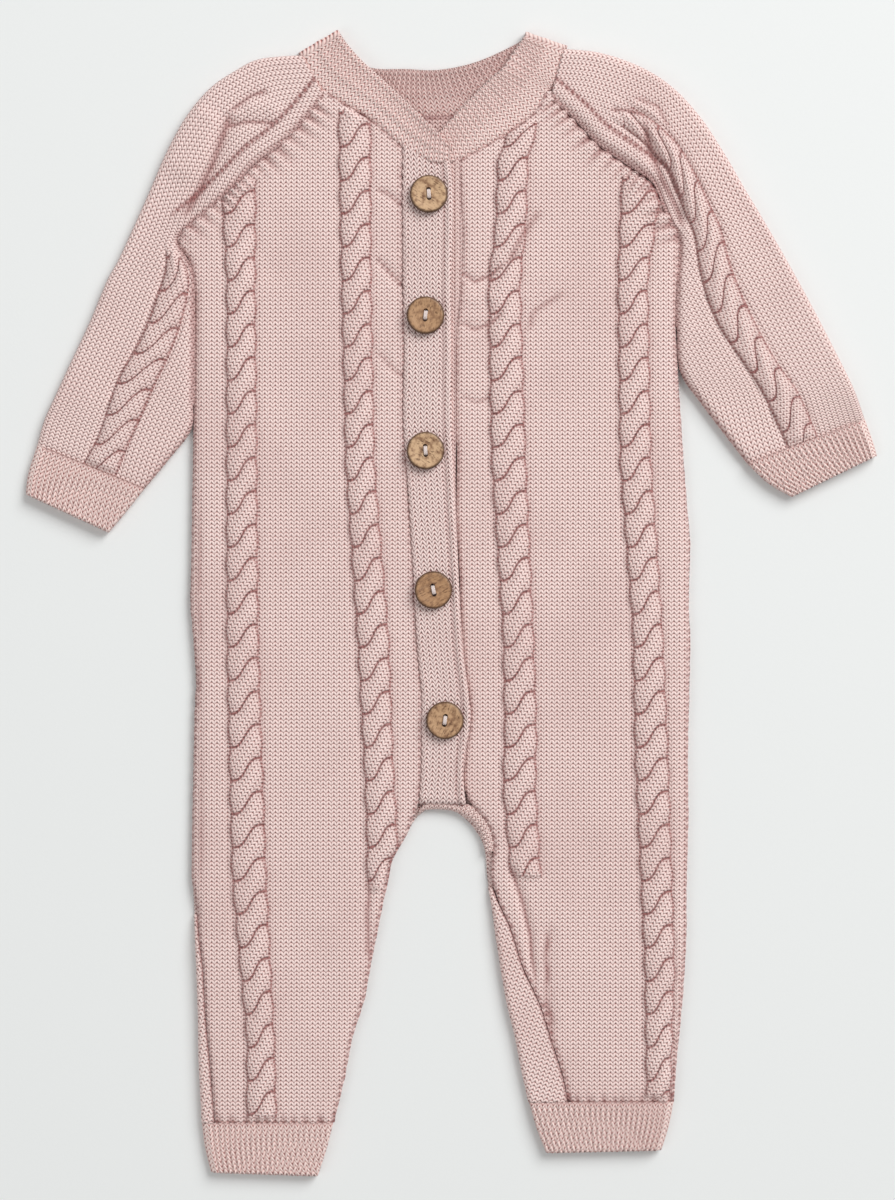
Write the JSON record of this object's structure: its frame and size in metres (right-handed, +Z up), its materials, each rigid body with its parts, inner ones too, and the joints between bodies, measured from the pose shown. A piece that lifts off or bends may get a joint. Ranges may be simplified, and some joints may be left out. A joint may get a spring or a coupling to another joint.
{
  "type": "baby romper",
  "caption": "Knitted baby romper laid flat: raglan sleeves, rope cables, ribbed neckband and cuffs, buttoned placket down the front.",
  "frame": {"origin": "centre of the garment's outline, on the surface it lies on", "axes": "+Y towards the neck along the garment's length, +X towards the wearer's left, +Z up from the surface"},
  "size_m": [0.4094, 0.5514, 0.0104],
  "materials": {
    "knit": "matte",
    "rib": "matte",
    "wood": "satin",
    "thread": "matte"
  },
  "bodies": {
    "root": {"back": "knit", "front_right": "knit", "front_left": "knit", "sleeve_right": "knit", "sleeve_left": "knit", "cuff_wrist_right": "rib", "cuff_wrist_left": "rib", "cuff_ankle_right": "rib", "cuff_ankle_left": "rib", "neckband": "rib", "button_band_over": "rib", "button_band_under": "rib", "crotch_band": "rib", "button_1": "wood", "button_2": "wood", "button_3": "wood", "button_4": "wood", "button_5": "wood"}
  },
  "joints": []
}
